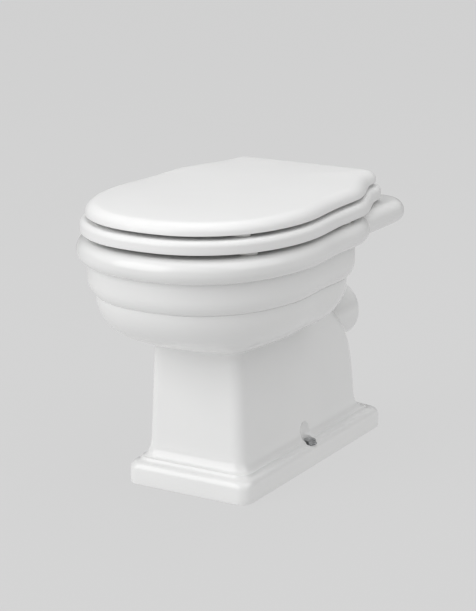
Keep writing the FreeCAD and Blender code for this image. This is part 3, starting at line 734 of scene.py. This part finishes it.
# %% Rows of the seat
seat_rows = []
for inset, rise in [(3.0, 0), (0.7, 0), (0.15, 0.25), (0, 0.8), (0, 5.8), (0, 10.8)]:
    seat_rows.append(row_at(side_at(inset), SEAT_LOW + rise))
for turn in np.radians(np.linspace(9, 88, 10)):
    height = SEAT_LOW + 10.8 + 9 * np.sin(turn)
    seat_rows.append(row_at(side_at(9.5 * (1 - np.cos(turn))), height))
outer_top, inner_top = seat_rows[-1][:, :2], opening_at(11)
for mix in (0.15, 0.4, 0.7, 0.95):
    crown = 0.18 * math.sin(math.pi * min(mix * 2, 1)) - 0.5 * mix ** 2
    seat_rows.append(row_at(outer_top + (inner_top - outer_top) * mix, SEAT_HIGH - 0.2 + crown))
for turn in np.radians(np.linspace(85, 0, 10)):
    height = SEAT_LOW + 9.3 + 10 * np.sin(turn)
    seat_rows.append(row_at(opening_at(11 * (1 - np.cos(turn))), height))
for grow, rise in [(0, 4.8), (0, 2.3), (0.8, 0.8), (2.5, 0), (5, 0)]:
    seat_rows.append(row_at(opening_at(grow), SEAT_LOW + rise))
seat = show("seat_board", grids_mesh("seat_board", [np.array(seat_rows)], closed_ends=False), 50)

# %% [markdown]
# ## The lid
# A solid board: flat beneath, with a thin sharp lip at its lower edge, a deep
# round-over, and a top that rises very slightly to its middle. Rings shrink from the
# outline towards a small oval, so the grid closes on a pole without a crease.

# %% Rings of the lid
LID_MIDDLE = np.array([0.0, -50.0])
lid_angles = ray_angles(420, [(150.0, 14.0, 1.8)])


def lid_ring(inset):
    """The lid's outline moved inwards, on the lid's rays."""
    return on_rays(offset(lid_line, -inset), LID_MIDDLE, lid_angles)


core = (0, -45) + np.c_[26 * np.sin(lid_angles), -90 * np.cos(lid_angles)]
core_middle = core.mean(0)
print("lid", np.round(np.ptp(lid_ring(0), axis=0), 1), "core", np.round(np.ptp(core, axis=0), 1))

# %% Rows of the lid
lid_rows = []
under_edge = lid_ring(4.0)
for mix in (0.03, 0.3, 0.6, 0.85, 1.0):
    lid_rows.append(row_at(core_middle + (under_edge - core_middle) * mix, LID_LOW))
for inset, rise in [(0.8, 0), (0.2, 0.2), (0, 0.7), (0, 1.6), (0.15, 2.2)]:
    lid_rows.append(row_at(lid_ring(inset), LID_LOW + rise))
for turn in np.radians(np.linspace(6, 85, 16)):
    height = LID_LOW + 2.4 + 15.8 * np.sin(turn)
    lid_rows.append(row_at(lid_ring(0.3 + 20.5 * (1 - np.cos(turn))), height))
shoulder, top_edge = lid_rows[-1][:, :2], lid_rows[-1][0, 2]
for mix in (0.06, 0.14, 0.25, 0.4, 0.55, 0.7, 0.85, 1.0):
    height = top_edge + (LID_HIGH - top_edge) * (1 - (1 - mix) ** 2)
    lid_rows.append(row_at(shoulder + (core - shoulder) * mix, height))
for mix in (0.6, 0.2):
    lid_rows.append(row_at(core_middle + (core - core_middle) * mix, LID_HIGH))
lid = show("lid_board", grids_mesh("lid_board", [np.array(lid_rows)]), 50)

# %% [markdown]
# ## Buffers and floor screws
# Soft white buffers keep the boards apart: long drops, blunt behind and narrow in
# front. The floor screws have chromed hexagon heads: a hexagon cut by a cone, so the
# corners are bevelled and the top is a round face.

# %% Buffers
def drop_outline(count=64):
    """A drop in plan: the half width swells and narrows along the length."""
    turn = np.linspace(0, 2 * np.pi, count, endpoint=False)
    along = -1 - 14 * np.cos(turn)
    narrow = 0.5 + 0.5 * (along + 15) / 28
    return np.c_[7.0 * np.sin(turn) * narrow ** 0.6, along]


def buffers(name, spots, node):
    """Drops as high as a CAD node; each row is the plan drop, drawn in towards its foot.

    A spot gives the drop's place and how many degrees it is swung round.
    """
    plan = drop_outline()
    low, top = heights(node)
    parts = []
    for across, back, swing in spots:
        turn = math.radians(swing)
        spin = np.array([[math.cos(turn), math.sin(turn)], [-math.sin(turn), math.cos(turn)]])
        parts.append(np.array([
            row_at(plan * scale @ spin + (across, back), top + (low - top) * share)
            for share, scale in ((0, 1), (0.5, 0.995), (0.8, 0.96), (0.93, 0.9), (1.0, 0.78))]))
    return show(name, grids_mesh(name, parts), 55)


seat_front = buffers(
    "front_seat_buffers", [(-137, -214, 49), (137, -214, -49)], "seat_front_buffers")
seat_rear = buffers("rear_seat_buffers", [(-164, 40, 0), (164, 40, 0)], "seat_rear_buffers")
lid_pads = buffers("front_lid_buffers", [(-129, -221, 49), (129, -221, -49)], "lid_buffers")

# %% Floor screws
SCREW_FOOT, SCREW_TOP = heights("floor_screws")
FLAT, FACE, FLANGE = 9.5, 8.9, 11.9
print("screws reach from", SCREW_FOOT, "to", SCREW_TOP)


def hex_screw(spot, sides=96):
    """A bevelled hexagon head on a flange and a plain shank.

    Round the hexagon the radius is its half width divided by the cosine of the angle
    from the middle of the nearest flat; the bevel is a 30 degree cone cut off the top.
    """
    around = np.linspace(0, 2 * np.pi, sides, endpoint=False)
    hexagon = FLAT / np.cos((around % (np.pi / 3)) - np.pi / 6)
    drop = (hexagon - FACE) * math.tan(math.radians(30))
    stops = [(FACE - 0.9, SCREW_TOP), (FACE, SCREW_TOP - 0.12)]
    stops += [(FACE + (hexagon - FACE) * mix, SCREW_TOP - 0.12 - drop * mix)
              for mix in (0.5, 0.96, 1.0)]
    stops += [(hexagon, 39.5), (hexagon, 36.9), (hexagon + 0.2, 36.6), (FLANGE - 0.6, 36.6),
              (FLANGE - 0.1, 36.4), (FLANGE, 36.0), (FLANGE, 35.3), (FLANGE - 0.3, 35.0),
              (5.2, 35.0), (5.0, 34.6), (5.0, SCREW_FOOT + 1.0), (4.0, SCREW_FOOT)]
    return upright_rings(spot, stops, sides)


heads = [hex_screw((side * SCREW_SPOT[0], SCREW_SPOT[1])) for side in (-1, 1)]
screws = show("hexagon_floor_screws", grids_mesh("hexagon_floor_screws", heads), 22)

# %% [markdown]
# ## Which piece rides on which body
# New pieces stand for CAD nodes and move with the body those nodes belong to. Each names the
# finish it takes.

# %% Ride, replace and name the finish
NEW = [
    (pan, "pan_body", "vitreous_china", ["pan"]),
    (screws, "pan_body", "chrome", ["floor_screws"]),
    (seat, "seat_body", "seat_board", ["seat_ring"]),
    (seat_front, "seat_body", "white_buffer", ["seat_front_buffers"]),
    (seat_rear, "seat_body", "white_buffer", ["seat_rear_buffers"]),
    (lid, "lid_body", "seat_board", ["lid"]),
    (lid_pads, "lid_body", "white_buffer", ["lid_buffers"]),
]
for piece, body, finish, stands_for in NEW:
    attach(piece, body)
    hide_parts(*stands_for)
print(len(NEW), "new pieces")

# %% [markdown]
# ## Shared effects
# Three small groups make every finish here. `tone_drift` lets a colour wander slowly
# between two tones, as a fired glaze does. `gloss_patches` gives a roughness that
# changes in soft patches, where a surface has been wiped or touched. `fine_waves` is
# a height for a bump: long waves for glaze that flowed, short grain for lacquer.

# %% Node group helpers
def new_group(name, inputs, outputs):
    """Shader node group with named sockets; returns the group and its two end nodes."""
    group = bpy.data.node_groups.new(name, "ShaderNodeTree")
    for label, kind, value in inputs:
        made = group.interface.new_socket(name=label, in_out="INPUT", socket_type=kind)
        if value is not None:
            made.default_value = value
    for label, kind in outputs:
        group.interface.new_socket(name=label, in_out="OUTPUT", socket_type=kind)
    start = group.nodes.new("NodeGroupInput")
    end = group.nodes.new("NodeGroupOutput")
    return group, start, end


def wire(links, *joins):
    """Link sockets; each join is a node, its output, another node and its input."""
    for source, output, target, entry in joins:
        links.new(source.outputs[output], target.inputs[entry])


def map_range(nodes, **ends):
    """Map Range node with its ends set by name, such as From_Min or To_Max."""
    node = nodes.new("ShaderNodeMapRange")
    for socket, value in ends.items():
        node.inputs[socket.replace("_", " ")].default_value = value
    return node


def noise_in(group, start, detail, rough=0.5):
    """Noise read at Point, at Size waves to the metre."""
    noise = group.nodes.new("ShaderNodeTexNoise")
    noise.inputs["Detail"].default_value = detail
    noise.inputs["Roughness"].default_value = rough
    wire(group.links, (start, "Point", noise, "Vector"), (start, "Size", noise, "Scale"))
    return noise


# %% Tone drift
tone_drift, start, end = new_group(
    "tone_drift",
    [("Point", "NodeSocketVector", None), ("Size", "NodeSocketFloat", 6.0),
     ("Light tone", "NodeSocketColor", (0.9, 0.9, 0.9, 1)),
     ("Deep tone", "NodeSocketColor", (0.8, 0.8, 0.8, 1))],
    [("Colour", "NodeSocketColor")])
noise = noise_in(tone_drift, start, 3.0)
spread = map_range(tone_drift.nodes, From_Min=0.35, From_Max=0.65)
blend = tone_drift.nodes.new("ShaderNodeMix")
blend.data_type = "RGBA"
wire(tone_drift.links, (noise, "Fac", spread, "Value"), (spread, "Result", blend, "Factor"),
     (start, "Light tone", blend, "A"), (start, "Deep tone", blend, "B"),
     (blend, "Result", end, "Colour"))
print(tone_drift.name, len(tone_drift.nodes), "nodes")

# %% Gloss patches
gloss_patches, start, end = new_group(
    "gloss_patches",
    [("Point", "NodeSocketVector", None), ("Size", "NodeSocketFloat", 12.0),
     ("Smoothest", "NodeSocketFloat", 0.1), ("Roughest", "NodeSocketFloat", 0.2)],
    [("Roughness", "NodeSocketFloat")])
noise = noise_in(gloss_patches, start, 4.0, 0.6)
spread = map_range(gloss_patches.nodes, From_Min=0.3, From_Max=0.7)
wire(gloss_patches.links, (noise, "Fac", spread, "Value"),
     (start, "Smoothest", spread, "To Min"), (start, "Roughest", spread, "To Max"),
     (spread, "Result", end, "Roughness"))
print(gloss_patches.name, len(gloss_patches.nodes), "nodes")

# %% Fine waves
fine_waves, start, end = new_group(
    "fine_waves",
    [("Point", "NodeSocketVector", None), ("Size", "NodeSocketFloat", 20.0),
     ("Stretch", "NodeSocketVector", (1.0, 1.0, 1.0)), ("Depth", "NodeSocketFloat", 0.001)],
    [("Height", "NodeSocketFloat")])
pull = fine_waves.nodes.new("ShaderNodeVectorMath")
pull.operation = "MULTIPLY"
noise = fine_waves.nodes.new("ShaderNodeTexNoise")
noise.inputs["Detail"].default_value = 2.0
scale = fine_waves.nodes.new("ShaderNodeMath")
scale.operation = "MULTIPLY"
wire(fine_waves.links, (start, "Point", pull, 0), (start, "Stretch", pull, 1),
     (pull, "Vector", noise, "Vector"), (start, "Size", noise, "Scale"),
     (noise, "Fac", scale, 0), (start, "Depth", scale, 1), (scale, "Value", end, "Height"))
print("groups", [g.name for g in (tone_drift, gloss_patches, fine_waves)])

# %% [markdown]
# ## A finish from the shared effects
# Each material reads Object coordinates, so that its pattern stays on the piece when
# the seat and lid swing. What is the same all over, such as the coat, sits on the
# shader's own sockets.

# %% Build one finish
def surface(name, light, deep, drift, gloss, patch, waves, depth, stretch=(1, 1, 1), **fixed):
    """Material with a drifting colour, patchy gloss and a fine bump; fixed sets sockets.

    The colour lies between light and deep, drift waves to the metre; the roughness
    between the two of gloss, patch waves to the metre; the bump has waves to the metre
    and a depth in metres.
    """
    made = bpy.data.materials.new(name)
    made.use_nodes = True
    nodes, links = made.node_tree.nodes, made.node_tree.links
    shader = nodes["Principled BSDF"]
    where = nodes.new("ShaderNodeTexCoord")
    groups = {}
    for group in (tone_drift, gloss_patches, fine_waves):
        node = nodes.new("ShaderNodeGroup")
        node.node_tree = group
        wire(links, (where, "Object", node, "Point"))
        groups[group.name] = node
    tone, shine, wave = (groups[g] for g in ("tone_drift", "gloss_patches", "fine_waves"))
    bump = nodes.new("ShaderNodeBump")
    for node, values in (
            (tone, {"Size": drift, "Light tone": (*light, 1), "Deep tone": (*deep, 1)}),
            (shine, {"Size": patch, "Smoothest": gloss[0], "Roughest": gloss[1]}),
            (wave, {"Size": waves, "Stretch": stretch, "Depth": depth}),
            (bump, {"Strength": 1.0, "Distance": 1.0}),
            (shader, {socket.replace("_", " "): value for socket, value in fixed.items()})):
        for socket, value in values.items():
            node.inputs[socket].default_value = value
    wire(links, (tone, "Colour", shader, "Base Color"),
         (shine, "Roughness", shader, "Roughness"), (wave, "Height", bump, "Height"),
         (bump, "Normal", shader, "Normal"))
    return made


# %% [markdown]
# ## The finishes
# Vitreous china is a dense white body under a clear glaze: a smooth diffuse white
# with a glossy coat and long shallow waves. The boards are lacquered, softer in their
# shine and warmer by a trace. Chrome, steel, nylon and rubber finish the small parts.

# %% Make the finishes
china = surface(
    "glazed_china", (0.87, 0.87, 0.865), (0.85, 0.852, 0.848), 5.0, (0.13, 0.20), 9.0,
    22.0, 0.00010, Coat_Weight=0.3, Coat_Roughness=0.1, IOR=1.5)
lacquer = surface(
    "lacquered_board", (0.88, 0.88, 0.877), (0.868, 0.868, 0.864), 7.0, (0.32, 0.40), 14.0,
    34.0, 0.00003, Coat_Weight=0.08, Coat_Roughness=0.25, IOR=1.45)
chrome = surface(
    "chrome_plate", (0.80, 0.81, 0.82), (0.74, 0.75, 0.765), 30.0, (0.04, 0.12), 60.0,
    90.0, 0.000012, Metallic=1.0)
# The floor screws are chrome like the hinge posts. Their darker base colour is painted shade: it
# stands for the shade in the dishes they sit in and the dark they reflect there.
shaded_screw_chrome = surface(
    "screw_chrome_painted_shade", (0.44, 0.45, 0.46), (0.27, 0.275, 0.28), 160.0, (0.10, 0.24), 160.0,
    300.0, 0.00001, Metallic=1.0)
steel = surface(
    "brushed_stainless", (0.66, 0.66, 0.65), (0.56, 0.56, 0.55), 60.0, (0.24, 0.38), 90.0,
    900.0, 0.00001, (0.06, 1.0, 1.0), Metallic=1.0)
soft_white = surface(
    "soft_white_buffer", (0.86, 0.86, 0.84), (0.80, 0.80, 0.78), 40.0, (0.42, 0.55), 80.0,
    700.0, 0.000015)
nylon = surface(
    "natural_nylon", (0.82, 0.82, 0.79), (0.76, 0.76, 0.72), 40.0, (0.35, 0.48), 70.0,
    500.0, 0.00002)
rubber = surface(
    "dark_rubber", (0.045, 0.045, 0.045), (0.07, 0.07, 0.068), 50.0, (0.55, 0.7), 90.0,
    900.0, 0.00003)
print("finishes", sorted(made.name for made in (
    china, lacquer, chrome, shaded_screw_chrome, steel, soft_white, nylon, rubber)))

# %% [markdown]
# The ring that stands on the floor is wiped clean of glaze before firing, so that the
# pan doesn't stick to the kiln. There the body shows: rough, matte and a little warm.

# %% Bare foot of the china
nodes, links = china.node_tree.nodes, china.node_tree.links
shader = nodes["Principled BSDF"]
where = nodes.new("ShaderNodeTexCoord")
split = nodes.new("ShaderNodeSeparateXYZ")
wire(links, (where, "Object", split, "Vector"))
bare = map_range(nodes, From_Min=0.0007, From_Max=0.0001)
wire(links, (split, "Z", bare, "Value"))


def bare_mix(kind, value, target):
    """Mix the glazed value with the bare body's by the foot mask."""
    mix = nodes.new("ShaderNodeMix")
    mix.data_type = kind
    source = shader.inputs[target].links[0].from_socket
    wire(links, (bare, "Result", mix, "Factor"))
    links.new(source, mix.inputs["A"])
    mix.inputs["B"].default_value = value
    wire(links, (mix, "Result", shader, target))


bare_mix("RGBA", (0.78, 0.76, 0.71, 1), "Base Color")
bare_mix("FLOAT", 0.75, "Roughness")
print("china nodes", len(nodes))

# %% Put the finishes on the pieces
FINISHES = {
    "vitreous_china": china, "seat_board": lacquer, "chrome": chrome, "stainless": steel,
    "white_buffer": soft_white, "white_nylon": nylon, "black_rubber": rubber,
}
CARRIED = {
    "chrome": ["hinge_post_left", "hinge_post_right", "rod_end_caps"],
    "stainless": ["hinge_studs", "hinge_rod", "seat_leaf_left", "seat_leaf_right",
                  "seat_leaf_screws", "seat_buffer_screws", "lid_leaf_left", "lid_leaf_right",
                  "lid_leaf_screws", "lid_buffer_screws"],
    "white_nylon": ["floor_screw_sleeves", "stud_nylon_washers", "wing_nuts",
                    "seat_leaf_bushes", "lid_leaf_bushes"],
    "black_rubber": ["stud_rubber_washers", "hinge_post_gaskets"],
}
for piece, _, finish, _ in NEW:
    piece.data.materials.clear()
    # The floor screws take the chrome with painted shade, darker than the hinge chrome.
    piece.data.materials.append(shaded_screw_chrome if piece is screws else FINISHES[finish])
left = set(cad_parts)
for finish, names in CARRIED.items():
    for name in names:
        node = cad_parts[name]
        node.data.materials.clear()
        node.data.materials.append(FINISHES[finish])
        left.discard(name)
left -= {name for _, _, _, stands_for in NEW for name in stands_for}
print("nodes without a finish:", sorted(left))

# %% [markdown]
# ## Floor, light and air
# A pale floor runs out of sight in every direction. It gives off light of its own,
# which keeps it even, and takes a faint shadow where the pan stands. To the pan the
# floor is bright near by and dimmer far off; to the camera it is one pale tone.

# %% Floor
FLOOR_REACH, FLOOR_SIDES, FLOOR_DROP = 40000, 128, 0.2
around = np.linspace(0, 2 * np.pi, FLOOR_SIDES, endpoint=False)
rim = row_at(np.c_[FLOOR_REACH * np.cos(around), FLOOR_REACH * np.sin(around)], -FLOOR_DROP)
floor_mesh = bpy.data.meshes.new("floor")
floor_mesh.from_pydata((rim * 0.001).tolist(), [], [list(range(FLOOR_SIDES))])
floor_mesh.update()
floor = bpy.data.objects.new("floor", floor_mesh)
bpy.context.scene.collection.objects.link(floor)
pale = surface(
    "pale_floor", (0.060, 0.060, 0.060), (0.058, 0.058, 0.058), 0.6, (0.8, 0.9), 1.0, 3.0, 0.0,
    Emission_Color=(1, 1, 1, 1), Specular_IOR_Level=0.0)
floor_mesh.materials.append(pale)
print("floor", [round(v) for v in floor.dimensions])

# %% The floor's own light
GLOW_SEEN, GLOW_NEAR, GLOW_FAR = 0.600, 0.61, 0.35
nodes, links = pale.node_tree.nodes, pale.node_tree.links
path = nodes.new("ShaderNodeLightPath")
glow = map_range(nodes, To_Max=GLOW_SEEN)
where = nodes.new("ShaderNodeTexCoord")
away = nodes.new("ShaderNodeVectorMath")
away.operation = "LENGTH"
fade = map_range(nodes, From_Min=1.2, From_Max=2.2, To_Min=GLOW_NEAR, To_Max=GLOW_FAR)
wire(links, (where, "Object", away, 0), (away, "Value", fade, "Value"),
     (fade, "Result", glow, "To Min"), (path, "Is Camera Ray", glow, "Value"),
     (glow, "Result", nodes["Principled BSDF"], "Emission Strength"))
print("floor glow", GLOW_SEEN, GLOW_NEAR, GLOW_FAR)

# %% [markdown]
# ## Lights
# A broad soft light stands on the left, a little higher than the pan, a weaker one
# high on the right, and a third hangs above. White china needs its tones kept apart,
# so the view transform is the plain one, without a film curve.

# %% Lights
def softbox(name, place, size, watts):
    """Square area light at a place, facing the middle of the pan."""
    data = bpy.data.lights.new(name, "AREA")
    data.shape = "SQUARE"
    data.size = size
    data.energy = watts
    lamp = bpy.data.objects.new(name, data)
    lamp.location = place
    aim = Vector((0, 0, 0.25)) - Vector(place)
    lamp.rotation_mode = "QUATERNION"
    lamp.rotation_quaternion = aim.to_track_quat("-Z", "Y")
    bpy.context.scene.collection.objects.link(lamp)
    print(name, "at", [round(v, 2) for v in place])


sideways = Vector((math.cos(AZIMUTH), math.sin(AZIMUTH), 0))
towards = Vector((math.sin(AZIMUTH), -math.cos(AZIMUTH), 0))
softbox("key", sideways * -3.0 + towards * 2.0 + Vector((0, 0, 2.0)), 3.4, 74)
softbox("fill", sideways * 2.6 + towards * 1.6 + Vector((0, 0, 3.0)), 3.4, 36)
softbox("top", sideways * 0.3 + towards * -0.3 + Vector((0, 0, 3.5)), 3.0, 31)

# %% [markdown]
# ## Air
# The air is brighter from above and the left, and dim in a low band all round. That
# band is what the narrow gaps under the seat and lid look out at, so they stay dark.
# The camera sees the floor's own pale tone there, so the horizon hardly shows.

# %% Brighter from above and the left
air = bpy.data.worlds.new("white_air")
air.use_nodes = True
nodes, links = air.node_tree.nodes, air.node_tree.links
look = nodes.new("ShaderNodeTexCoord")
along = nodes.new("ShaderNodeVectorMath")
along.operation = "DOT_PRODUCT"
brightest = sideways * -0.45 + towards * 0.3 + Vector((0, 0, 0.84))
along.inputs[1].default_value = brightest.normalized()
strength = map_range(nodes, From_Min=-1.0, To_Min=0.03, To_Max=0.64)
wire(links, (look, "Generated", along, 0), (along, "Value", strength, "Value"))
print("brightest towards", [round(v, 2) for v in brightest.normalized()])

# %% Dim in a low band
split = nodes.new("ShaderNodeSeparateXYZ")
rise = nodes.new("ShaderNodeMath")
rise.operation = "ABSOLUTE"
haze = map_range(nodes, From_Min=0.12, From_Max=0.40, To_Min=0.60, To_Max=1.08)
both = nodes.new("ShaderNodeMath")
both.operation = "MULTIPLY"
wire(links, (look, "Generated", split, "Vector"), (split, "Z", rise, 0),
     (rise, "Value", haze, "Value"), (strength, "Result", both, 0), (haze, "Result", both, 1))
print("air nodes", len(nodes))

# %% One tone for the camera
path = nodes.new("ShaderNodeLightPath")
seen = nodes.new("ShaderNodeMix")
seen.inputs["B"].default_value = GLOW_SEEN
wire(links, (path, "Is Camera Ray", seen, "Factor"), (both, "Value", seen, "A"),
     (seen, "Result", nodes["Background"], "Strength"))
nodes["Background"].inputs["Color"].default_value = (1, 1, 1, 1)
bpy.context.scene.world = air
bpy.context.scene.view_settings.view_transform = "Standard"
print("world", air.name)

# %% [markdown]
# ## The end
# The view layer is brought up to date, so every piece stands in its place.

# %% Update the view layer
bpy.context.view_layer.update()
